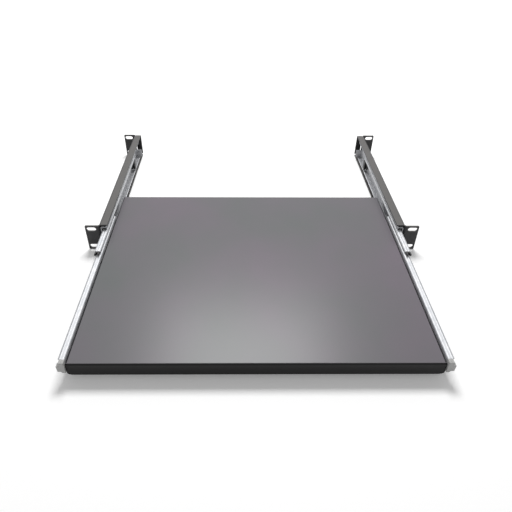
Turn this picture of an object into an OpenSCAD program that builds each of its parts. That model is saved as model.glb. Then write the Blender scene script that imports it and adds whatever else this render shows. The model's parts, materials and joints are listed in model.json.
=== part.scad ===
// A sliding shelf, one unit high, for a 19 inch equipment rack, drawn in millimetres and shown
// pulled out. The origin is the centre of the front rack holes, on the face of the ears that
// meets the rack. X runs to the right, Y to the back of the rack and Z up.

/* [Rack fit] */
// Width over the outer edges of the mounting ears
ear_span = 482.6; // [480:0.1:486]
// Length of a slot, across the rack
slot_l = 14; // [10:0.5:14]
// Height of a slot
slot_w = 7; // [6:0.5:8]
// Metal left between a slot and the outer edge of its ear
slot_rim = 1.75; // [1.5:0.05:3]
// Metal left between a slot and the top or the bottom edge of its ear
slot_edge = 2.475; // [2:0.025:3]
// Distance from a slot to the bracket's web
slot_root = 3.55; // [3.3:0.05:5]

/* [Side brackets] */
// How far the brackets run on behind the slides
bracket_tail = 17; // [8:1:150]
// Thickness of the bracket steel
bracket_t = 2; // [1.6:0.1:2]
// Gap between a slide and the flange above or below it
flange_gap = 2.35; // [2:0.05:2.7]
// Width of the top and the bottom flange of a bracket, over the web
flange_w = 12.5; // [10:0.5:13]
// Rounding of the ear corners
ear_corner_r = 1.2; // [0.5:0.1:2]

/* [Slides] */
// Length of the outer and of the inner rail of a slide
slide_l = 250; // [245:1:255]
// Height of the outer rail
slide_h = 35; // [34:0.5:36]
// Thickness of a slide, from the bracket to the shelf
slide_w = 12.7; // [12.5:0.1:13]
// Thickness of the rail steel
rail_t = 1.2; // [1.1:0.05:1.25]
// Diameter of the balls
ball_d = 3; // [2.8:0.1:3.1]
// Distance between two balls in a cage
ball_pitch = 9; // [8:0.5:12]
// Thickness of the cage steel
cage_t = 0.5; // [0.4:0.05:0.6]
// Share of the slide's length that the cage between the outer and the middle rail has
outer_cage_share = 0.52; // [0.4:0.01:0.54]
// Share of the slide's length that the cage between the middle and the inner rail has
inner_cage_share = 0.3; // [0.26:0.01:0.36]
// Length of the two prongs on the front bumper of the middle rail
prong_l = 6; // [4:0.5:7]
// Length of the block in the rear end of the middle rail, which the inner rail runs against
block_l = 7; // [6:0.5:9]
// How far that block stands out behind the middle rail
tail_l = 1.2; // [0.8:0.1:2]
// Thickness of the front stop of the inner rail
stop_t = 5; // [4:0.5:6]

/* [Travel] */
// Share of the slide's length that the middle rail travels in the outer rail
middle_reach_share = 0.4; // [0.36:0.01:0.42]
// Share of the slide's length that the inner rail, with the shelf, travels in the middle rail
inner_reach_share = 0.62; // [0.58:0.01:0.63]
// Share of its travel that the middle rail stands out in the position shown
middle_out_share = 0.5; // [0:0.05:0.9]

/* [Shelf] */
// How far the shelf runs on behind the inner rails
shelf_tail = 49; // [30:1:60]
// Height of the shelf top over the middle of the slides
shelf_rise = 3.5; // [2.5:0.1:5]
// Thickness of the shelf steel
shelf_t = 1.5; // [1.2:0.1:1.6]
// Inside radius of the shelf bends
bend_r = 0.6; // [0.5:0.1:1.4]
// Height of the front lip
lip_h = 19.5; // [18:0.5:24]
// Height of the side flanges
side_h = 19; // [18:0.5:22]
// Height of the rear flange
rear_h = 14; // [10:0.5:18]
// Width of the return at the foot of the front lip
return_w = 9; // [6:0.5:14]
// How far the front lip stands before the inner rails
lip_lead = 3; // [2:0.5:4]
// Rounding of the lower corners of the front lip
lip_corner_r = 3.5; // [2:0.5:5]

/* [Fasteners] */
// Screws that hold one rail
screws_per_rail = 3; // [2:1:4]
// Distance from the end of a rail to its first screw
screw_inset = 25; // [20:1:30]
// Thread diameter of the screws
screw_d = 4; // [3:0.5:4]
// Head diameter of the countersunk screws in the outer rails
sunk_head_d = 7; // [6:0.1:7.5]
// Head diameter of the pan head screws in the inner rails
pan_head_d = 7; // [6:0.1:7.2]
// Height of a pan head
pan_head_h = 2.2; // [1.6:0.1:2.4]
// How far the shelf screws lie below the middle of the slide
shelf_screw_drop = 3; // [2.6:0.1:3.1]
// Width of a nut across its flats
nut_flats = 7; // [6:0.1:7]
// Thickness of a nut
nut_t = 3.2; // [2:0.1:3.2]

/* [Hidden] */
ear_h = slide_h + 2 * (flange_gap + bracket_t);     // height of an ear and of its bracket
hole_pitch = ear_h - slot_w - 2 * slot_edge;        // between the two slots of one ear

$fn = 48;
overrun = 1;        // how far a cut runs past the face that it opens
fit_gap = 0.1;      // between a bore and what sits in it
run_gap = 0.4;      // between pieces that slide past each other
race_gap = 0.2;     // between a ball and the races that it runs in
stop_gap = 0.3;     // left at the end of a travel

steel_black = [0.14, 0.14, 0.15];
zinc = [0.78, 0.79, 0.80];
cage_steel = [0.68, 0.69, 0.70];
ball_steel = [0.86, 0.87, 0.88];
plastic_black = [0.06, 0.06, 0.06];
stop_grey = [0.62, 0.62, 0.61];

hole_span = ear_span - slot_l - 2 * slot_rim;
web_span = ear_span - 2 * (slot_l + slot_rim + slot_root);

// Across a slide, u counts from the bracket's web towards the shelf and v from the middle up.
web_in = web_span / 2 - bracket_t;
shelf_half = web_in - slide_w;
bracket_bend_r = bracket_t / 2;
ball_r = ball_d / 2;
race_r = ball_r + race_gap;
rail_bend_r = rail_t * 2 / 3;
curl_turn = 70;                     // angle that a rail's edge turns round its balls
upturn = 65;                        // angle that the inner rail's edge turns up
outer_ball_share = 0.5;
inner_ball_share = 0.65;
spare_slot_share = 1.2;
stop_tab_top_share = 0.37;
stop_tab_foot_share = 0.74;

outer_ball_u = slide_w * outer_ball_share;
outer_ball_v = slide_h / 2 - rail_t - race_r;
middle_u = rail_t + run_gap + cage_t + run_gap;
groove = rail_t / 4;
middle_top = outer_ball_v - race_r + groove;
inner_ball_u = slide_w * inner_ball_share;
inner_ball_v = middle_top - rail_t - race_r;
inner_top = inner_ball_v - race_r;
inner_tip_u = inner_ball_u - (race_r + rail_t) * sin(upturn);
inner_tip_v = inner_ball_v - race_r * cos(upturn);

// Along a slide, y counts from the face of the front ears that meets the rack.
outer_y = bracket_t / 2;
bracket_depth = outer_y + slide_l + bracket_tail;
middle_l = slide_l - stop_gap - prong_l - tail_l;
inner_l = slide_l - stop_gap - block_l;
middle_reach = slide_l * middle_reach_share;
inner_reach = slide_l * inner_reach_share;
middle_out = middle_reach * middle_out_share;
outer_cage_l = slide_l * outer_cage_share;
inner_cage_l = slide_l * inner_cage_share;
tab_y = outer_y + slide_l - rail_t;
closed_inner_y = tab_y - stop_gap - slide_l;
closed_middle_y = closed_inner_y + stop_gap + prong_l;
middle_y = closed_middle_y - middle_out;
inner_y = closed_inner_y - middle_out - inner_reach;
bumper_l = prong_l;                 // how deep a bumper sits in its rail
peg_d = ball_d;                     // of the peg that holds the rear block
outer_cage_y = outer_y + bumper_l + run_gap + (middle_reach - middle_out) / 2;
inner_cage_y = middle_y + bumper_l + run_gap;
shelf_y = inner_y - lip_lead;
shelf_depth = lip_lead + slide_l + shelf_tail;
shelf_bend = bend_r + shelf_t;

function spread(first, last, count) =
    [for (i = [0 : count - 1]) first + (last - first) * i / (count - 1)];
function rail_screw_ys(y) = spread(y + screw_inset, y + slide_l - screw_inset, screws_per_rail);
function ball_ys(y, l) =
    let (count = floor((l - 2 * ball_d) / ball_pitch))
    [for (i = [0 : count]) y + (l - count * ball_pitch) / 2 + i * ball_pitch];

// Placing

module on_left() { translate([-web_in, 0, 0]) children(); }

module on_right() { mirror([1, 0, 0]) translate([-web_in, 0, 0]) children(); }

// A section drawn across the slide, run along it from y
module run(y, l) {
    translate([0, y + l, 0]) rotate([90, 0, 0]) linear_extrude(l) children();
}

// A section drawn along the slide and up, run across it from x
module run_across(x, w) {
    translate([x, 0, 0]) rotate([90, 0, 90]) linear_extrude(w) children();
}

module top_and_foot() {
    children();
    mirror([0, 1]) children();
}

// A curled strip of sheet round the origin, from one angle to another
module curl(r, t, from, to) {
    far = 2 * (r + t);
    intersection() {
        difference() {
            circle(r + t);
            circle(r);
        }
        polygon([
            [0, 0],
            far * [cos(from), sin(from)],
            far * [cos((from + to) / 2), sin((from + to) / 2)],
            far * [cos(to), sin(to)]
        ]);
    }
}

// The space between a web and a lip, with the corner rounded as the sheet's bend
module corner_fill(u, v, w, h, r) {
    translate([u + r, v + h - r]) circle(r);
    translate([u + r, v]) square([w - r, h]);
    translate([u, v]) square([r, h - r]);
}

module rounded_plate(w, h, r) {
    for (x = [r, w - r], y = [r, h - r]) translate([x, y]) circle(r);
    translate([r, 0]) square([w - 2 * r, h]);
    translate([0, r]) square([w, h - 2 * r]);
}

// Side bracket

module ear(y) {
    reach = ear_span / 2 - web_in;
    hole_u = web_in - hole_span / 2;
    fold = bracket_t + bracket_bend_r;
    half_run = (slot_l - slot_w) / 2;
    difference() {
        run(y, bracket_t) {
            translate([-reach, -ear_h / 2]) rounded_plate(reach - fold, ear_h, ear_corner_r);
            translate([-fold - ear_corner_r, -ear_h / 2]) square([ear_corner_r, ear_h]);
        }
        for (v = [-hole_pitch / 2, hole_pitch / 2]) {
            translate([hole_u - half_run, y - overrun, v - slot_w / 2])
                cube([2 * half_run, bracket_t + 2 * overrun, slot_w]);
            for (u = [hole_u - half_run, hole_u + half_run])
                translate([u, y - overrun, v]) rotate([-90, 0, 0])
                    cylinder(d = slot_w, h = bracket_t + 2 * overrun);
        }
    }
}

module bracket_section() {
    half = ear_h / 2;
    fold = bracket_t + bracket_bend_r;
    top_and_foot() {
        translate([-bracket_t, 0]) square([bracket_t, half - fold]);
        translate([bracket_bend_r, half - fold]) curl(bracket_bend_r, bracket_t, 90, 180);
        translate([bracket_bend_r, half - bracket_t])
            square([flange_w - fold, bracket_t]);
    }
}

module bracket() {
    fold = bracket_t + bracket_bend_r;
    half = ear_h / 2;
    back = bracket_depth - bracket_t;
    flange_u = flange_w - bracket_t;
    difference() {
        union() {
            run(bracket_bend_r, back - 2 * bracket_bend_r) bracket_section();
            // the folds from the web out to the two ears
            translate([-fold, bracket_bend_r, -half]) linear_extrude(ear_h)
                curl(bracket_bend_r, bracket_t, 270, 360);
            translate([-fold, back - bracket_bend_r, -half]) linear_extrude(ear_h)
                curl(bracket_bend_r, bracket_t, 0, 90);
            ear(-bracket_t);
            ear(back);
            // the end plate, folded down from the top flange
            run_across(bracket_bend_r, flange_u - bracket_bend_r)
                translate([back - bracket_bend_r, half - fold])
                curl(bracket_bend_r, bracket_t, 0, 90);
            translate([bracket_bend_r, back, -half + fold])
                cube([flange_u - bracket_bend_r, bracket_t, ear_h - 2 * fold]);
        }
        for (y = rail_screw_ys(outer_y)) translate([0, y, 0]) sunk_bore();
    }
}

// Outer rail and its screws

module outer_section() {
    half = slide_h / 2;
    fold = rail_t + rail_bend_r;
    top_and_foot() {
        square([rail_t, half - fold]);
        translate([fold, half - fold]) curl(rail_bend_r, rail_t, 90, 180);
        translate([fold, half - rail_t]) square([outer_ball_u - fold, rail_t]);
        translate([outer_ball_u, outer_ball_v]) curl(race_r, rail_t, 90 - curl_turn, 90);
    }
}

module outer_rail() {
    fold = rail_t + rail_bend_r;
    tab_foot = -slide_h / 2 + fold;
    tab_h = slide_h / 2 - fold - rail_t;
    tab_reach = slide_w - run_gap;
    difference() {
        run(outer_y, slide_l) outer_section();
        translate([-overrun, tab_y - rail_bend_r, tab_foot])
            cube([overrun + fold, fold + overrun, tab_h]);
        for (y = rail_screw_ys(outer_y)) translate([0, y, 0]) sunk_bore();
    }
    // the tab bent in from the web that stops the other two rails
    translate([fold, tab_y - rail_bend_r, tab_foot]) linear_extrude(tab_h)
        curl(rail_bend_r, rail_t, 90, 180);
    translate([fold, tab_y, tab_foot]) cube([tab_reach - fold, rail_t, tab_h]);
}

// The bore and countersink for a rail screw, from the inside of the outer rail out
module sunk_bore() {
    sink_d = sunk_head_d + 2 * fit_gap;
    bore_d = screw_d + fit_gap;
    sink_h = (sink_d - bore_d) / 2;
    translate([rail_t, 0, 0]) rotate([0, -90, 0]) {
        cylinder(d1 = sink_d, d2 = bore_d, h = sink_h);
        cylinder(d = bore_d, h = rail_t + bracket_t + overrun);
    }
}

// A cross recess, cut down from the origin
module cross_recess(reach, depth) {
    for (turn = [0, 90]) rotate([0, 0, turn])
        translate([-reach, -reach / 5, -overrun]) cube([2 * reach, reach * 2 / 5, overrun + depth]);
}

module rail_screws() {
    head_h = (sunk_head_d - screw_d) / 2;
    for (y = rail_screw_ys(outer_y)) translate([rail_t, y, 0]) rotate([0, -90, 0]) difference() {
        union() {
            cylinder(d1 = sunk_head_d, d2 = screw_d, h = head_h);
            cylinder(d = screw_d, h = rail_t + bracket_t);
        }
        cross_recess(screw_d / 2, head_h * 2 / 3);
    }
}

module outer_bumper() {
    fold = rail_t + rail_bend_r;
    pad_w = run_gap * 2;
    leg_v = middle_top + run_gap;
    leg_h = slide_h / 2 - rail_t - leg_v;
    run(outer_y, bumper_l) top_and_foot() {
        translate([rail_t, 0]) square([pad_w, leg_v + overrun]);
        corner_fill(rail_t, leg_v, outer_ball_u - rail_t, leg_h, rail_bend_r);
        translate([outer_ball_u, outer_ball_v]) intersection() {
            circle(race_r);
            translate([0, leg_v - outer_ball_v]) square([race_r - fit_gap, race_r * 2]);
        }
    }
}

// Cages and balls

module cage(y, l, web_u, lip_v, ball_u) {
    lip_u = ball_u + ball_r + cage_t * 2;
    bend = cage_t;
    difference() {
        union() {
            run(y, l) top_and_foot() {
                translate([web_u, 0]) square([cage_t, lip_v - cage_t / 2 - bend / 2]);
                translate([web_u + cage_t + bend / 2, lip_v - cage_t / 2 - bend / 2])
                    curl(bend / 2, cage_t, 90, 180);
                translate([web_u + cage_t + bend / 2, lip_v - cage_t / 2])
                    square([lip_u - web_u - cage_t - bend / 2, cage_t]);
            }
        }
        for (at = ball_ys(y, l)) translate([ball_u, at, -lip_v - overrun])
            cylinder(d = ball_d + fit_gap, h = 2 * (lip_v + overrun));
    }
}

module balls(y, l, ball_u, ball_v) {
    for (at = ball_ys(y, l), v = [-ball_v, ball_v])
        translate([ball_u, at, v]) sphere(r = ball_r);
}

module outer_cage() { cage(outer_cage_y, outer_cage_l, rail_t + run_gap, outer_ball_v, outer_ball_u); }

module outer_balls() { balls(outer_cage_y, outer_cage_l, outer_ball_u, outer_ball_v); }

module inner_cage() {
    cage(inner_cage_y, inner_cage_l, middle_u + rail_t + run_gap, inner_ball_v, inner_ball_u);
}

module inner_balls() { balls(inner_cage_y, inner_cage_l, inner_ball_u, inner_ball_v); }

// Middle rail and its two bumpers

module middle_section() {
    fold = rail_t + rail_bend_r;
    top_and_foot() {
        translate([middle_u, 0]) square([rail_t, middle_top - fold]);
        translate([middle_u + fold, middle_top - fold]) curl(rail_bend_r, rail_t, 90, 180);
        difference() {
            translate([middle_u + fold, middle_top - rail_t])
                square([inner_ball_u - middle_u - fold, rail_t]);
            translate([outer_ball_u, outer_ball_v]) circle(race_r);
        }
        translate([inner_ball_u, inner_ball_v]) curl(race_r, rail_t, 90 - curl_turn, 90);
    }
}

module middle_rail() {
    access_d = sunk_head_d + ball_r;
    difference() {
        run(middle_y, middle_l) middle_section();
        // the holes that a screwdriver passes through to the rail screws
        for (y = rail_screw_ys(outer_y - closed_middle_y + middle_y))
            translate([middle_u - overrun, y, 0]) rotate([0, 90, 0])
                cylinder(d = access_d, h = rail_t + 2 * overrun);
        // the hole for the peg of the rear block
        translate([middle_u - overrun, middle_y + middle_l + tail_l - block_l * 2 / 3, 0])
            rotate([0, 90, 0]) cylinder(d = peg_d + fit_gap, h = rail_t + 2 * overrun);
    }
}

// The part of the front bumper that sits inside the middle rail, clear of the inner rail
module bumper_section() {
    seat_u = middle_u + rail_t;
    leg_v = inner_tip_v + run_gap;
    leg_h = middle_top - rail_t - leg_v;
    top_and_foot() {
        translate([seat_u, 0]) square([inner_tip_u - run_gap - seat_u, leg_v + overrun]);
        corner_fill(seat_u, leg_v, inner_ball_u - seat_u, leg_h, rail_bend_r);
        translate([inner_ball_u, inner_ball_v]) intersection() {
            circle(race_r);
            translate([0, leg_v - inner_ball_v]) square([race_r - fit_gap, race_r * 2]);
        }
    }
}

// The part of the front bumper that caps the end of the middle rail
module bumper_cap_section() {
    seat_u = middle_u + rail_t;
    leg_v = inner_tip_v + run_gap;
    top_and_foot() {
        translate([seat_u, 0]) square([inner_tip_u - run_gap - seat_u, leg_v + overrun]);
        corner_fill(seat_u, leg_v, inner_ball_u + race_r - seat_u, middle_top - leg_v,
            rail_bend_r);
    }
}

module front_bumper() {
    cap_t = prong_l / 3;
    seat_u = middle_u + rail_t;
    prong_w = rail_t * 2;
    leg_v = inner_tip_v + run_gap;
    leg_h = middle_top - leg_v;
    nose_h = inner_top;
    run(middle_y, bumper_l) bumper_section();
    run(middle_y - cap_t, cap_t) bumper_cap_section();
    // the nose that the front stop pushes
    translate([seat_u, middle_y - prong_l, -nose_h / 2])
        cube([inner_tip_u - run_gap - seat_u, prong_l - cap_t, nose_h]);
    // two tapered prongs on each leg
    for (v = [leg_v, -middle_top]) translate([0, middle_y - cap_t, v]) {
        translate([seat_u, 0, 0]) prong(prong_w, prong_l - cap_t, leg_h);
        translate([inner_ball_u + race_r, 0, 0]) mirror([1, 0, 0])
            prong(prong_w, prong_l - cap_t, leg_h);
    }
}

module prong(w, l, h) {
    linear_extrude(h) polygon([[0, 0], [w, 0], [w / 2, -l], [0, -l]]);
}

// A block with two fingers towards the inner rail, held by a peg through the middle rail's web
module rear_bumper() {
    seat_u = middle_u + rail_t;
    w = inner_ball_u + race_r + rail_t - seat_u;
    finger_l = block_l / 3;
    back = middle_y + middle_l + tail_l;
    translate([seat_u, back - block_l, -inner_top]) linear_extrude(2 * inner_top) polygon([
        [0, 0], [w / 4, 0], [w / 2, finger_l], [w * 3 / 4, 0], [w, 0], [w, block_l], [0, block_l]
    ]);
    translate([middle_u, back - block_l * 2 / 3, 0]) rotate([0, 90, 0])
        cylinder(d = peg_d, h = rail_t + w / 4);
}

// Inner rail, its stop and its screws

module inner_section() {
    fold = rail_t + rail_bend_r;
    top_and_foot() {
        translate([slide_w - rail_t, 0]) square([rail_t, inner_top - fold]);
        translate([slide_w - fold, inner_top - fold]) curl(rail_bend_r, rail_t, 0, 90);
        translate([inner_ball_u, inner_top - rail_t])
            square([slide_w - fold - inner_ball_u, rail_t]);
        translate([inner_ball_u, inner_ball_v]) curl(race_r, rail_t, 270 - upturn, 270);
    }
}

module inner_rail() {
    slot_d = screw_d * spare_slot_share;
    ys = rail_screw_ys(inner_y);
    difference() {
        run(inner_y, inner_l) inner_section();
        for (y = ys) translate([0, y, -shelf_screw_drop]) shelf_bore(screw_d + fit_gap);
        // spare slots beside the screws, as such rails have
        for (y = ys) for (side = [-1, 1])
            translate([slide_w - rail_t - overrun, y + side * screw_inset / 2,
                -shelf_screw_drop])
                spare_slot(slot_d, rail_t + 2 * overrun);
    }
}

module spare_slot(d, h) {
    rotate([0, 90, 0]) {
        for (y = [-d / 2, d / 2]) translate([0, y, 0]) cylinder(d = d, h = h);
        translate([-d / 2, -d / 2, 0]) cube([d, d, h]);
    }
}

// A bore through the inner rail's web and the shelf's flange
module shelf_bore(d) {
    translate([slide_w - rail_t - overrun, 0, 0]) rotate([0, 90, 0])
        cylinder(d = d, h = rail_t + shelf_t + 2 * overrun);
}

module shelf_screws() {
    length = rail_t + shelf_t + nut_t;
    point_h = screw_d / 5;
    for (y = rail_screw_ys(inner_y)) translate([slide_w - rail_t, y, -shelf_screw_drop]) {
        difference() {
            rotate([0, -90, 0]) cylinder(d = pan_head_d, h = pan_head_h);
            translate([-pan_head_h, 0, 0]) rotate([0, 90, 0])
                cross_recess(screw_d / 2, pan_head_h * 2 / 3);
        }
        rotate([0, 90, 0]) {
            cylinder(d = screw_d, h = length);
            // the chamfered end that stands out of the nut
            translate([0, 0, length]) cylinder(d1 = screw_d, d2 = screw_d - point_h, h = point_h);
        }
    }
}

module shelf_nuts() {
    over_corners = nut_flats / cos(30);
    chamfer_h = (over_corners - nut_flats) / 3;
    for (y = rail_screw_ys(inner_y))
        translate([slide_w + shelf_t, y, -shelf_screw_drop]) rotate([0, 90, 0]) difference() {
            intersection() {
                cylinder(d = over_corners, h = nut_t, $fn = 6);
                union() {
                    cylinder(d = over_corners + fit_gap, h = nut_t - chamfer_h);
                    translate([0, 0, nut_t - chamfer_h])
                        cylinder(d1 = over_corners, d2 = nut_flats, h = chamfer_h);
                }
            }
            translate([0, 0, -overrun]) cylinder(d = screw_d + fit_gap, h = nut_t + 2 * overrun);
        }
}

// A grey block on the end of the inner rail, with a tab that reaches out before the middle rail
module front_stop() {
    side_u = inner_tip_u + rail_t;
    tab_u = middle_u + rail_t;
    tab_top = inner_top * stop_tab_top_share;
    tab_foot = -inner_top * stop_tab_foot_share;
    plug_l = stop_t * 2;
    plug_h = inner_top - rail_t - fit_gap;
    run(inner_y - stop_t, stop_t) polygon([
        [slide_w, inner_top], [side_u, inner_top], [side_u - rail_t / 3, tab_top],
        [tab_u, tab_top], [tab_u + rail_t / 3, tab_foot],
        [side_u + rail_t / 2, tab_foot], [side_u + rail_t * 2, -inner_top],
        [slide_w, -inner_top]
    ]);
    translate([inner_ball_u, inner_y - overrun, -plug_h + rail_bend_r])
        cube([slide_w - rail_t - inner_ball_u, plug_l + overrun, 2 * (plug_h - rail_bend_r)]);
}

// Shelf

module shelf_tray() {
    back = shelf_y + shelf_depth;
    top = shelf_rise;
    flat_half = shelf_half - shelf_bend;
    corner_gap = bend_r;
    difference() {
        union() {
            translate([-flat_half, shelf_y + shelf_bend, top - shelf_t])
                cube([2 * flat_half, shelf_depth - 2 * shelf_bend, shelf_t]);
            shelf_front(2 * shelf_half);
            // rear flange
            run_across(-flat_half, 2 * flat_half)
                translate([back - shelf_bend, top - shelf_bend]) curl(bend_r, shelf_t, 0, 90);
            translate([-flat_half, back - shelf_t, top - rear_h])
                cube([2 * flat_half, shelf_t, rear_h - shelf_bend]);
            // side flanges
            for (side = [0, 1]) mirror([side, 0, 0]) {
                run(shelf_y + shelf_bend, shelf_depth - 2 * shelf_bend)
                    translate([flat_half, top - shelf_bend]) curl(bend_r, shelf_t, 0, 90);
                translate([shelf_half - shelf_t, shelf_y + shelf_t + corner_gap, top - side_h])
                    cube([shelf_t, shelf_depth - shelf_t - corner_gap - shelf_bend,
                        side_h - shelf_bend]);
            }
        }
        for (y = rail_screw_ys(inner_y)) {
            on_left() translate([0, y, -shelf_screw_drop]) shelf_bore(screw_d + fit_gap);
            on_right() translate([0, y, -shelf_screw_drop]) shelf_bore(screw_d + fit_gap);
        }
    }
}

// The front lip, with its bend at the top and the return at its foot
module shelf_front(w) {
    foot = shelf_rise - lip_h;
    inset = lip_corner_r + bend_r;
    flat_h = lip_h - 2 * shelf_bend;
    run_across(-w / 2, w)
        translate([shelf_y + shelf_bend, shelf_rise - shelf_bend])
        curl(bend_r, shelf_t, 90, 180);
    translate([-w / 2, 0, foot + shelf_bend]) run(shelf_y, shelf_t) {
        rounded_plate(w, flat_h, lip_corner_r);
        translate([0, lip_corner_r]) square([w, flat_h - lip_corner_r]);
    }
    run_across(-w / 2 + inset, w - 2 * inset) {
        translate([shelf_y + shelf_bend, foot + shelf_bend]) curl(bend_r, shelf_t, 180, 270);
        translate([shelf_y + shelf_bend, foot]) square([return_w - shelf_bend, shelf_t]);
    }
}

module pair_left(colour) { color(colour) on_left() children(); }

module pair_right(colour) { color(colour) on_right() children(); }

pair_left(steel_black) bracket();  // left_bracket
pair_left(zinc) outer_rail();  // left_outer_rail
pair_left(zinc) rail_screws();  // left_rail_screws
pair_left(plastic_black) outer_bumper();  // left_outer_bumper
pair_left(cage_steel) outer_cage();  // left_outer_cage
pair_left(ball_steel) outer_balls();  // left_outer_balls
pair_left(zinc) middle_rail();  // left_middle_rail
pair_left(plastic_black) front_bumper();  // left_front_bumper
pair_left(plastic_black) rear_bumper();  // left_rear_bumper
pair_left(cage_steel) inner_cage();  // left_inner_cage
pair_left(ball_steel) inner_balls();  // left_inner_balls
pair_left(zinc) inner_rail();  // left_inner_rail
pair_left(stop_grey) front_stop();  // left_front_stop
pair_left(zinc) shelf_screws();  // left_shelf_screws
pair_left(zinc) shelf_nuts();  // left_shelf_nuts
pair_right(steel_black) bracket();  // right_bracket
pair_right(zinc) outer_rail();  // right_outer_rail
pair_right(zinc) rail_screws();  // right_rail_screws
pair_right(plastic_black) outer_bumper();  // right_outer_bumper
pair_right(cage_steel) outer_cage();  // right_outer_cage
pair_right(ball_steel) outer_balls();  // right_outer_balls
pair_right(zinc) middle_rail();  // right_middle_rail
pair_right(plastic_black) front_bumper();  // right_front_bumper
pair_right(plastic_black) rear_bumper();  // right_rear_bumper
pair_right(cage_steel) inner_cage();  // right_inner_cage
pair_right(ball_steel) inner_balls();  // right_inner_balls
pair_right(zinc) inner_rail();  // right_inner_rail
pair_right(stop_grey) front_stop();  // right_front_stop
pair_right(zinc) shelf_screws();  // right_shelf_screws
pair_right(zinc) shelf_nuts();  // right_shelf_nuts
color(steel_black) shelf_tray();
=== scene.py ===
# %% [markdown]
# # A sliding rack shelf
# This scene dresses a pull-out shelf for a 19 inch rack. The shelf is one folded steel sheet with
# a black powder coat. It hangs between two black side brackets on three-part ball slides of bright
# zinc-plated steel, and it is shown pulled out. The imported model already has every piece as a
# solid, so most of the work here is finishes, light and the small details that a press or a mould
# leaves.

# %% Load the frame
import json
import math

import bmesh
import bpy
from mathutils import Matrix, Vector


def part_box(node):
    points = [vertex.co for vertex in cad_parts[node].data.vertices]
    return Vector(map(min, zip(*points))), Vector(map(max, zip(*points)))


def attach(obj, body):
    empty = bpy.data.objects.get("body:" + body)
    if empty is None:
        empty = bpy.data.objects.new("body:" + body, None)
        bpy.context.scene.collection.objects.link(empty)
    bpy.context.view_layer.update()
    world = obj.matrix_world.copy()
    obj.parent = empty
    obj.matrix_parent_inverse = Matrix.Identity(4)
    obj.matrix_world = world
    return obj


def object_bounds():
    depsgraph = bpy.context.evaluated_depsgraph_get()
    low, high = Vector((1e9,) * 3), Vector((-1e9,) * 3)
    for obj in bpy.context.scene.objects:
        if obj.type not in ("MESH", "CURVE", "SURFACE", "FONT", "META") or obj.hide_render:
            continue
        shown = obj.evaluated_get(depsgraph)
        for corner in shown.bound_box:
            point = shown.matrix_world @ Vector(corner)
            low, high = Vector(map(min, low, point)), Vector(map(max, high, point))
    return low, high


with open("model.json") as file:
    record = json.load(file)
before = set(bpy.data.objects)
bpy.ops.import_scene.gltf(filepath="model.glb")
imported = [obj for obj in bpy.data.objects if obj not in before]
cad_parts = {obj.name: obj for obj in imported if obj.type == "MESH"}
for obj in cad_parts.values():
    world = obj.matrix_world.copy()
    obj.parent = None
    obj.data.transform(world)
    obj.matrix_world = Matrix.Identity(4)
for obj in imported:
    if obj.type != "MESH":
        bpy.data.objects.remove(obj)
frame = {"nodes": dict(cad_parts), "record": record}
cad_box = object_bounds()
nodes = frame["nodes"]
MM = 0.001                       # a millimetre in metres, the scene's unit
SIDES = {"left": -1, "right": 1}                      # each side with its sign along X

# %% [markdown]
# ## Camera
# The photograph was taken from the front and above, close to the shelf, so its sides run together
# towards the back. A camera could be placed by eye, but here its numbers come from a least-squares
# fit of the shelf's edges and the ears' corners. A lens in Blender is given for a 36 mm wide
# sensor, and the shift moves the frame without tilting the camera.

# %% Camera
IMAGE = 512                      # pixels across the square image
FOCAL = 455.97                   # focal length in pixels
CENTRE = (243.64, 165.0)         # where the camera's axis meets the image, from its top left corner
CAMERA_AT = (-0.0201, -0.50563, 0.4514)               # in metres
PAN, DIP, ROLL = -0.717, 32.801, 0.536                # degrees: sideways, downwards, about its axis

camera = bpy.data.objects.new("camera", bpy.data.cameras.new("camera"))
bpy.context.scene.collection.objects.link(camera)
bpy.context.scene.camera = camera
camera.data.sensor_width = 36
camera.data.lens = FOCAL / IMAGE * camera.data.sensor_width
camera.data.shift_x = (IMAGE / 2 - CENTRE[0]) / IMAGE
camera.data.shift_y = (CENTRE[1] - IMAGE / 2) / IMAGE
camera.data.clip_start = 10 * MM
camera.matrix_world = (
    Matrix.Translation(CAMERA_AT)
    @ Matrix.Rotation(math.radians(PAN), 4, "Z")
    @ Matrix.Rotation(math.radians(90 - DIP), 4, "X")
    @ Matrix.Rotation(math.radians(ROLL), 4, "Z")
)
print("lens", round(camera.data.lens, 1), "mm, shift", round(camera.data.shift_y, 3))

# %% [markdown]
# ## Colours and nodes
# Colours are written as sRGB hex values, as in any paint program, but a shader works with linear
# light. One function turns the first into the second. Another sets and links the inputs of a node
# that is there already, such as a material's shader. A third adds a new node with its settings,
# inputs and colour stops in a single call, which keeps each material short enough to read.

# %% Helpers for materials
MIX_FACTOR, MIX_A, MIX_B, MIX_RESULT = 0, 6, 7, 2     # a Mix node's sockets when it mixes colours


def linear(colour):
    """Turns an sRGB hex colour into linear red, green, blue and alpha."""
    channels = [int(colour[i:i + 2], 16) / 255 for i in (1, 3, 5)]
    return [c / 12.92 if c <= 0.04045 else ((c + 0.055) / 1.055) ** 2.4 for c in channels] + [1]


def set_inputs(tree, node, values=None, links=None):
    """Sets a node's input values and links its inputs to other nodes' outputs."""
    for socket, value in (values or {}).items():
        node.inputs[socket].default_value = value
    for socket, source in (links or {}).items():
        tree.links.new(source, node.inputs[socket])


def add_node(tree, kind, values=None, links=None, stops=(), **settings):
    """Adds a node with its properties and inputs and, on a colour ramp, its two stops."""
    made = tree.nodes.new(kind)
    for name, value in settings.items():
        setattr(made, name, value)
    set_inputs(tree, made, values, links)
    for index, (position, colour) in enumerate(stops):
        made.color_ramp.elements[index].position = position
        made.color_ramp.elements[index].color = linear(colour)
    return made


def new_material(name):
    """Makes a material and returns it with its node tree and its shader."""
    made = bpy.data.materials.new(name)
    made.use_nodes = True
    return made, made.node_tree, made.node_tree.nodes["Principled BSDF"]


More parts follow.
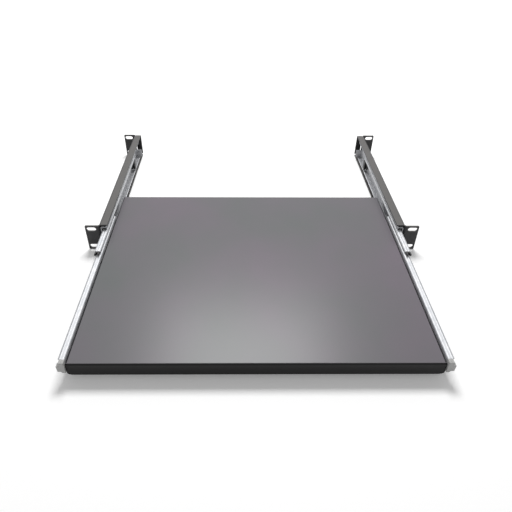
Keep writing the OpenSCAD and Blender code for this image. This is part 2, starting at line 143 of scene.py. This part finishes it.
print("sRGB #808080 is", round(linear("#808080")[0], 3), "in linear light")

# %% [markdown]
# ## Black powder coat on the shelf
# Powder is sprayed on dry and baked, so it flows into a satin skin with a faint ripple that
# painters call orange peel, about 2 mm from crest to crest. In the photograph the shelf's top is
# mid grey while its lip is nearly black. Part of that comes from a soft light that the top
# mirrors. It could be left to the lamps alone, but then the top would go dark as soon as it is
# seen from elsewhere. So whatever faces up carries a grey in its colour that covers the black
# there: partly fine dust and scuffs, partly a painted sheen that stands in for the mirrored light.
# The surface's own normal picks those faces out. Broad clouds, a little warmer or cooler, keep the
# large flat sheet from looking like plastic. The specular level is below the usual 0.5. It was
# settled by trial against the photograph, and keeps the highlight near the front edge from growing
# too bright.

# %% Black powder coat, shelf
# How much of the normal points up where the dust and painted sheen begin, and where they are full
FACES_UP = {"From Min": 0.93, "From Max": 0.997}
PEEL_HEIGHT = 0.15 * MM          # of the orange peel, more than the real one, so that it shows

shelf_coat, tree, shader = new_material("black_powder_coat_shelf")
place = add_node(tree, "ShaderNodeTexCoord")
clouds = add_node(tree, "ShaderNodeTexNoise", {"Scale": 1 / (150 * MM), "Detail": 3},
                  {"Vector": place.outputs["Object"]})
# grey of the faces up: partly dust and scuffs, partly a painted sheen for the mirrored soft light
dust_and_sheen = add_node(tree, "ShaderNodeValToRGB", links={"Fac": clouds.outputs["Fac"]},
                stops=[(0.3, "#6c6f6f"), (0.7, "#766f77")])
facing = add_node(tree, "ShaderNodeSeparateXYZ", links={"Vector": place.outputs["Normal"]})
# faces that point up get the dust and the painted sheen over the black
dust_and_sheen_mask = add_node(tree, "ShaderNodeMapRange", FACES_UP, {"Value": facing.outputs["Z"]})
skin = add_node(tree, "ShaderNodeMix", {MIX_A: linear("#0b0a0b")},
                {MIX_FACTOR: dust_and_sheen_mask.outputs["Result"], MIX_B: dust_and_sheen.outputs["Color"]},
                data_type="RGBA")
satin = add_node(tree, "ShaderNodeMapRange", {"To Min": 0.32, "To Max": 0.28},
                 {"Value": dust_and_sheen_mask.outputs["Result"]})
peel = add_node(tree, "ShaderNodeTexNoise", {"Scale": 1 / (2.2 * MM), "Detail": 2},
                {"Vector": place.outputs["Object"]})
ripple = add_node(tree, "ShaderNodeBump", {"Strength": 0.12, "Distance": PEEL_HEIGHT},
                  {"Height": peel.outputs["Fac"]})
set_inputs(tree, shader, {"IOR": 1.5, "Specular IOR Level": 0.2},
           {"Base Color": skin.outputs[MIX_RESULT], "Roughness": satin.outputs["Result"],
            "Normal": ripple.outputs["Normal"]})
print(shelf_coat.name, "has", len(tree.nodes), "nodes")

# %% [markdown]
# ## Black powder coat on the brackets
# The brackets have the same kind of coat, but it looks duller, a dark grey with a faint mottle
# about a centimetre wide and fine pale specks where the powder is thin or dusty. Speckles could be
# painted on as an image, but a Voronoi texture gives one random value for each grain at any size,
# and a steep range keeps only the few brightest. What faces up is paler here too, partly dust and
# partly a painted sheen for the soft light it mirrors, though less so than on the shelf. The
# roughness and the specular level were settled by trial as well, and give a dry, slightly chalky
# skin.

# %% Black powder coat, brackets
bracket_coat, tree, shader = new_material("black_powder_coat_brackets")
place = add_node(tree, "ShaderNodeTexCoord")
mottle = add_node(tree, "ShaderNodeTexNoise", {"Scale": 1 / (14 * MM), "Detail": 5},
                  {"Vector": place.outputs["Object"]})
tint = add_node(tree, "ShaderNodeValToRGB", links={"Fac": mottle.outputs["Fac"]},
                stops=[(0.3, "#2a2a2b"), (0.7, "#363537")])
facing = add_node(tree, "ShaderNodeSeparateXYZ", links={"Vector": place.outputs["Normal"]})
# faces that point up get dust and a painted sheen for the light they mirror
upward_dust_and_sheen = add_node(tree, "ShaderNodeMapRange", {**FACES_UP, "To Max": 0.62},
                {"Value": facing.outputs["Z"]})
grains = add_node(tree, "ShaderNodeTexVoronoi", {"Scale": 1 / (1.6 * MM)},
                  {"Vector": place.outputs["Object"]})
specks = add_node(tree, "ShaderNodeMapRange",
                  {"From Min": 0.965, "From Max": 0.995, "To Max": 0.35},
                  {"Value": grains.outputs["Color"]})
specks_dust_and_sheen = add_node(tree, "ShaderNodeMath", operation="ADD",
                   links={0: specks.outputs["Result"], 1: upward_dust_and_sheen.outputs["Result"]})
# the coat's colour with pale specks, dust and the painted sheen mixed in
coat_with_dust_and_sheen = add_node(tree, "ShaderNodeMix", {MIX_B: linear("#6d6b69")},
                 {MIX_FACTOR: specks_dust_and_sheen.outputs["Value"], MIX_A: tint.outputs["Color"]},
                 data_type="RGBA")
peel = add_node(tree, "ShaderNodeTexNoise", {"Scale": 1 / (1.8 * MM), "Detail": 2},
                {"Vector": place.outputs["Object"]})
ripple = add_node(tree, "ShaderNodeBump", {"Strength": 0.2, "Distance": PEEL_HEIGHT},
                  {"Height": peel.outputs["Fac"]})
set_inputs(tree, shader, {"Roughness": 0.52, "Specular IOR Level": 0.35},
           {"Base Color": coat_with_dust_and_sheen.outputs[MIX_RESULT], "Normal": ripple.outputs["Normal"]})
print(bracket_coat.name, "has", len(tree.nodes), "nodes")

# %% [markdown]
# ## Zinc-plated rail steel
# The rails are rolled from strip and then plated with zinc. Rolling leaves fine lines along the
# rail, and the plating gives soft cloudy patches a few millimetres wide. The lines could be drawn
# by a wave texture, but that comes out too regular, so a noise is stretched along Y instead. They
# are drawn coarser than the real ones, 0.7 mm apart, so that they survive at this size. A metal
# takes its colour from its base colour and stays at the default index of refraction. Bright zinc
# is usually glossier than the 0.57 to 0.66 used here. That was settled by trial against the
# photograph, in which the rails are pale all over without a sharp reflection.

# %% Zinc plate
zinc, tree, shader = new_material("zinc_plated_rail_steel")
place = add_node(tree, "ShaderNodeTexCoord")
stretched = add_node(tree, "ShaderNodeMapping", {"Scale": (1.0, 0.03, 1.0)},
                     {"Vector": place.outputs["Object"]})
lines = add_node(tree, "ShaderNodeTexNoise", {"Scale": 1 / (0.7 * MM), "Detail": 2},
                 {"Vector": stretched.outputs["Vector"]})
patches = add_node(tree, "ShaderNodeTexNoise", {"Scale": 1 / (6 * MM), "Detail": 4},
                   {"Vector": place.outputs["Object"]})
tint = add_node(tree, "ShaderNodeValToRGB", links={"Fac": patches.outputs["Fac"]},
                stops=[(0.3, "#a6a8ab"), (0.7, "#bbbbbd")])
sheen = add_node(tree, "ShaderNodeMapRange", {"To Min": 0.57, "To Max": 0.66},
                 {"Value": patches.outputs["Fac"]})
rolled = add_node(tree, "ShaderNodeBump", {"Strength": 0.08, "Distance": 0.05 * MM},
                  {"Height": lines.outputs["Fac"]})
set_inputs(tree, shader, {"Metallic": 1.0},
           {"Base Color": tint.outputs["Color"], "Roughness": sheen.outputs["Result"],
            "Normal": rolled.outputs["Normal"]})
print(zinc.name, "has", len(tree.nodes), "nodes")

# %% [markdown]
# ## Cage strip
# A ball cage is a thin steel strip with a row of holes, lightly greased. The grease lies in smears
# about a centimetre long, which dull the steel and yellow it a little. They could be a separate
# film over the metal, but one noise that drives both the tint and the roughness looks the same
# here.

# %% Cage strip
cage_strip, tree, shader = new_material("greased_cage_strip")
place = add_node(tree, "ShaderNodeTexCoord")
smears = add_node(tree, "ShaderNodeTexNoise", {"Scale": 1 / (9 * MM), "Detail": 4},
                  {"Vector": place.outputs["Object"]})
tint = add_node(tree, "ShaderNodeValToRGB", links={"Fac": smears.outputs["Fac"]},
                stops=[(0.35, "#a9a8a0"), (0.65, "#bfc1c3")])
dulled = add_node(tree, "ShaderNodeMapRange", {"To Min": 0.25, "To Max": 0.5},
                  {"Value": smears.outputs["Fac"]})
set_inputs(tree, shader, {"Metallic": 1.0},
           {"Base Color": tint.outputs["Color"], "Roughness": dulled.outputs["Result"]})
print(cage_strip.name, "has", len(tree.nodes), "nodes")

# %% [markdown]
# ## Polished balls
# The balls are ground and polished, so they mirror everything around them. A perfect mirror could
# be used, but a trace of grease dulls real balls in places, which a noise on the roughness shows.

# %% Ball steel
ball_steel, tree, shader = new_material("polished_ball_steel")
place = add_node(tree, "ShaderNodeTexCoord")
grease = add_node(tree, "ShaderNodeTexNoise", {"Scale": 1 / (2 * MM), "Detail": 1},
                  {"Vector": place.outputs["Object"]})
film = add_node(tree, "ShaderNodeMapRange", {"To Min": 0.05, "To Max": 0.2},
                {"Value": grease.outputs["Fac"]})
set_inputs(tree, shader, {"Base Color": linear("#e4e5e6"), "Metallic": 1.0},
           {"Roughness": film.outputs["Result"]})
print(ball_steel.name, "has", len(tree.nodes), "nodes")

# %% [markdown]
# ## Moulded plastics
# The bumpers inside the slides are black nylon. The stops on the front ends of the inner rails are
# a light grey acetal. Both come out of a spark-eroded mould, which leaves a fine matt grain. A
# finish this fine could be left to the roughness alone, but a faint relief keeps the pieces from
# looking like smooth toys. It is drawn coarser than the real one, 0.6 to 0.8 mm wide, so that it
# shows. The two plastics differ only in their values, so one function makes both.

# %% Black nylon and grey acetal


def moulded_plastic(name, grain, height, strength, stops, roughness, ior):
    """Makes a plastic with a matt grain, whose width and height are in millimetres."""
    made, tree, shader = new_material(name)
    place = add_node(tree, "ShaderNodeTexCoord")
    speckle = add_node(tree, "ShaderNodeTexNoise", {"Scale": 1 / (grain * MM), "Detail": 3},
                       {"Vector": place.outputs["Object"]})
    spark = add_node(tree, "ShaderNodeBump", {"Strength": strength, "Distance": height * MM},
                     {"Height": speckle.outputs["Fac"]})
    tint = add_node(tree, "ShaderNodeValToRGB", links={"Fac": speckle.outputs["Fac"]}, stops=stops)
    set_inputs(tree, shader, {"Roughness": roughness, "IOR": ior},
               {"Base Color": tint.outputs["Color"], "Normal": spark.outputs["Normal"]})
    print(name, "has", len(tree.nodes), "nodes")
    return made


nylon = moulded_plastic("moulded_black_nylon", grain=0.6, height=0.05, strength=0.2,
                        stops=[(0.3, "#131314"), (0.7, "#1d1d1e")], roughness=0.48, ior=1.53)
stop_plastic = moulded_plastic("moulded_grey_acetal", grain=0.8, height=0.06, strength=0.25,
                               stops=[(0.3, "#adadab"), (0.7, "#bababa")], roughness=0.5, ior=1.48)

# %% [markdown]
# ## Giving each solid its finish
# Each solid could be given its material by hand, but the record already names a material slot for
# every solid, so a small table from slot to finish dresses the whole model. Only the shelf, which
# shares the brackets' slot, has a coat of its own.

# %% Finishes on the solids
FINISHES = {"powder_coat": bracket_coat, "zinc_plate": zinc, "cage_steel": cage_strip,
            "ball_steel": ball_steel, "black_plastic": nylon, "stop_grey": stop_plastic}
for part in frame["record"]["subparts"]:
    solid = nodes[part["node"]]
    finish = shelf_coat if part["node"] == "shelf_tray" else FINISHES[part["material_slot"]]
    for slot in solid.material_slots:
        slot.material = finish

# %% [markdown]
# ## Softened edges
# A moulded part has no sharp edge. Its edges are rounded by a few tenths of a millimetre, which
# catches a thin line of light. The mesh itself could be rounded, but a bevel modifier leaves the
# solid as it was packed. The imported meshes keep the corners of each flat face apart, and a bevel
# finds no shared edge there, so a weld modifier joins them first. The face counts before and after
# show whether the bevel had any effect. The sheet metal is left as it is, because its edges are
# finer still and wouldn't show.

# %% Edge rounding
EDGE_ROUND = {"_front_stop": 0.4, "_front_bumper": 0.25, "_rear_bumper": 0.25}   # in mm
EDGE_ANGLE = 40                  # degrees between two faces, from which an edge counts as sharp
JOIN_GAP = 0.001 * MM            # corners nearer to each other than this become one


def soften(solid, width):
    """Rounds the sharp edges of a solid and returns its face counts before and after."""
    weld = solid.modifiers.new("joined_corners", "WELD")
    weld.merge_threshold = JOIN_GAP
    bevel = solid.modifiers.new("soft_edges", "BEVEL")
    bevel.limit_method = "ANGLE"
    bevel.angle_limit = math.radians(EDGE_ANGLE)
    bevel.width = width * MM
    bevel.segments = 2
    bevel.harden_normals = True
    drawn = solid.evaluated_get(bpy.context.evaluated_depsgraph_get())
    after = len(drawn.to_mesh().polygons)
    drawn.to_mesh_clear()
    return len(solid.data.polygons), after


for side in SIDES:
    for ending, width in EDGE_ROUND.items():
        before, after = soften(nodes[side + ending], width)
        print(side + ending, before, "faces, rounded to", after)

# %% [markdown]
# ## Small round marks
# Two kinds of small round mark are left on parts like these. Where a rail is fixed by screws, a
# press may have pushed low round pips out of its web, which stiffen it there. Where plastic was
# injected into a mould, a small nub is left at the gate. Both are turned shapes, so one function
# draws half of their outline as a chain of points and spins it round once. A sphere could be
# pushed half into the surface, but a spun outline keeps the crease at the foot that the real marks
# have.

# %% Turned marks
SPIN_STEPS = 24                  # a mark is small, so a few flats round it don't show
SEAM_GAP = 0.01 * MM             # doubled points at the seam and the pole lie closer than this


def turned(name, outline, places, body, finish):
    """Spins an outline of (radius, height) pairs about the height axis at each of several places.

    A place is a point with the direction in which the mark stands out."""
    shape = bmesh.new()
    for point, out in places:
        chain = [shape.verts.new((radius * MM, 0, height * MM)) for radius, height in outline]
        links = [shape.edges.new(pair) for pair in zip(chain, chain[1:])]
        bmesh.ops.spin(shape, geom=chain + links, cent=(0, 0, 0), axis=(0, 0, 1),
                       angle=math.tau, steps=SPIN_STEPS, use_merge=True)
        fresh = [v for v in shape.verts if not v.tag]
        turn = Vector(out).to_track_quat("Z", "Y").to_matrix().to_4x4()
        bmesh.ops.transform(shape, matrix=Matrix.Translation(Vector(point)) @ turn, verts=fresh)
        for v in fresh:
            v.tag = True
    bmesh.ops.remove_doubles(shape, verts=shape.verts, dist=SEAM_GAP)
    bmesh.ops.recalc_face_normals(shape, faces=shape.faces)
    for face in shape.faces:
        face.smooth = True
    mesh = bpy.data.meshes.new(name)
    shape.to_mesh(mesh)
    shape.free()
    mesh.materials.append(finish)
    made = bpy.data.objects.new(name, mesh)
    bpy.context.scene.collection.objects.link(made)
    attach(made, body)
    print(name, len(places), "marks,", len(mesh.polygons), "faces")


# %% [markdown]
# ## Where the marks sit
# The pips stand in pairs, one before and one behind each of the three screws that hold an inner
# rail to the shelf. Their places could be typed in, but taken from the boxes of the screws and the
# rail they follow when the rails are built longer or shorter. Each gate mark lies on top of its
# stop.

# %% Pips and gate marks
# Outlines in mm, a low dome and a flat nub. The last two points close the sunk underside.
PIP = [(0, 0.35), (0.7, 0.33), (1.25, 0.25), (1.5, 0.12), (1.6, -0.1), (0, -0.1)]
GATE = [(0, 0.25), (0.55, 0.25), (0.75, 0.15), (0.8, -0.1), (0, -0.1)]
WEB = 1.2 * MM                   # thickness of the rail's web
SCREW_HEAD = 7 * MM              # across the head of a screw
PIP_STEP = 7 * MM                # from a screw to each of its pips, along the rail
PIP_RISE = 3.5 * MM              # of a pip above the middle of the rail
GATE_ASIDE = 210 * MM            # from the middle of the shelf to a gate mark
GATE_BACK = 2.5 * MM             # from the front of a stop to its gate mark

for side, sign in SIDES.items():
    rail_low, rail_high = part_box(side + "_inner_rail")
    face = (rail_high[0] - WEB) if sign < 0 else (rail_low[0] + WEB)
    screw_low, screw_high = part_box(side + "_shelf_screws")
    first = screw_low[1] + SCREW_HEAD / 2
    reach = screw_high[1] - screw_low[1] - SCREW_HEAD
    rows = [first + reach * share for share in (0, 0.5, 1)]
    pips = [((face, y + step, PIP_RISE), (sign, 0, 0))
            for y in rows for step in (-PIP_STEP, PIP_STEP)]
    turned(side + "_rail_pips", PIP, pips, "shelf", zinc)
    stop_low, stop_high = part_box(side + "_front_stop")
    gate_at = (sign * GATE_ASIDE, stop_low[1] + GATE_BACK, stop_high[2])
    turned(side + "_gate_mark", GATE, [(gate_at, (0, 0, 1))], "shelf", stop_plastic)

# %% [markdown]
# ## Floor
# The photograph's background was cut out to white. Here the shelf lies on a white paper floor,
# which also keeps its shadow. Stronger lamps would make the paper whiter but would wash out the
# shelf as well. So the paper adds some light of its own, only for what the camera, a reflection or
# a clear material sees of it. It adds little near the shelf, where more would drown the shadow,
# and most far out, where the lamps hardly reach.

# %% White paper floor
FLOOR_GAP = 0.5 * MM             # between the floor and the lowest point of the part
FLOOR_HALF = 6                   # half the floor's side, in metres


def seen_mask(tree):
    """Returns an output that is 1 for camera, glossy and transmission rays and 0 for the rest."""
    rays = add_node(tree, "ShaderNodeLightPath")
    mask = rays.outputs["Is Camera Ray"]
    for ray in ("Is Glossy Ray", "Is Transmission Ray"):
        either = add_node(tree, "ShaderNodeMath", operation="MAXIMUM",
                          links={0: mask, 1: rays.outputs[ray]})
        mask = either.outputs["Value"]
    return mask


paper, tree, shader = new_material("white_paper_floor")
place = add_node(tree, "ShaderNodeTexCoord")
distance = add_node(tree, "ShaderNodeVectorMath", operation="LENGTH",
                    links={"Vector": place.outputs["Object"]})
glow = add_node(tree, "ShaderNodeMapRange",
                {"From Min": 0.6, "From Max": 2.2, "To Min": 0.2, "To Max": 0.85},
                {"Value": distance.outputs["Value"]})
lift = add_node(tree, "ShaderNodeMath", operation="MULTIPLY",
                links={0: seen_mask(tree), 1: glow.outputs["Result"]})
set_inputs(tree, shader, {"Base Color": linear("#f7f7f7"), "Roughness": 0.9,
                          "Emission Color": linear("#ffffff")},
           {"Emission Strength": lift.outputs["Value"]})

floor_mesh = bpy.data.meshes.new("floor")
shape = bmesh.new()
bmesh.ops.create_grid(shape, x_segments=1, y_segments=1, size=FLOOR_HALF)
bmesh.ops.translate(shape, verts=shape.verts, vec=(0, 0, cad_box[0][2] - FLOOR_GAP))
shape.to_mesh(floor_mesh)
shape.free()
floor = bpy.data.objects.new("floor", floor_mesh)
bpy.context.scene.collection.objects.link(floor)
floor_mesh.materials.append(paper)
print("floor", 2 * FLOOR_HALF, "m wide,", paper.name, "has", len(tree.nodes), "nodes")

# %% [markdown]
# ## Lamps
# Two soft lights hang above and behind the shelf. The camera sees their mirror images in its top:
# the wide weak one spreads over most of it, and the smaller, stronger one sits near the front
# edge, where the real shelf is brightest, and fades towards the sides. One large lamp could light
# the shelf as well, but it wouldn't give that fading patch.

# %% Soft lights
AIM = Vector((0, -0.12, 0))      # a point in the front half of the pulled-out shelf, in metres


def soft_light(name, direction, distance, size, power):
    """Hangs a rectangular soft light in a direction from the shelf, facing it."""
    lamp = bpy.data.lights.new(name, "AREA")
    lamp.shape = "RECTANGLE"
    lamp.size, lamp.size_y = size
    lamp.energy = power
    made = bpy.data.objects.new(name, lamp)
    bpy.context.scene.collection.objects.link(made)
    made.location = AIM + Vector(direction).normalized() * distance
    made.rotation_euler = (AIM - made.location).to_track_quat("-Z", "Y").to_euler()
    print(name, power, "W,", distance, "m away")


soft_light("soft_box_behind", (0, 0.70, 0.71), distance=2.2, size=(2.4, 1.4), power=3)
soft_light("soft_box_above", (0, 0.51, 0.86), distance=2.0, size=(0.85, 0.55), power=31)

# %% [markdown]
# ## World
# The world gives an even fill, as pale studio walls do. A camera ray that misses everything should
# see white, and so should a reflection, so both get a brighter world than the one that lights the
# object. Colours are shown by the Standard view, which leaves them about as they are written.

# %% World and view
FILL, WHITE = 0.28, 1.0          # the world's strength as a light, and as it is seen

world = bpy.data.worlds.new("studio")
bpy.context.scene.world = world
world.use_nodes = True
tree = world.node_tree
level = add_node(tree, "ShaderNodeMapRange", {"To Min": FILL, "To Max": WHITE},
                 {"Value": seen_mask(tree)})
set_inputs(tree, tree.nodes["Background"], {"Color": linear("#ffffff")},
           {"Strength": level.outputs["Result"]})
bpy.context.scene.view_settings.view_transform = "Standard"
print("world", FILL, "as a light,", WHITE, "as it is seen")
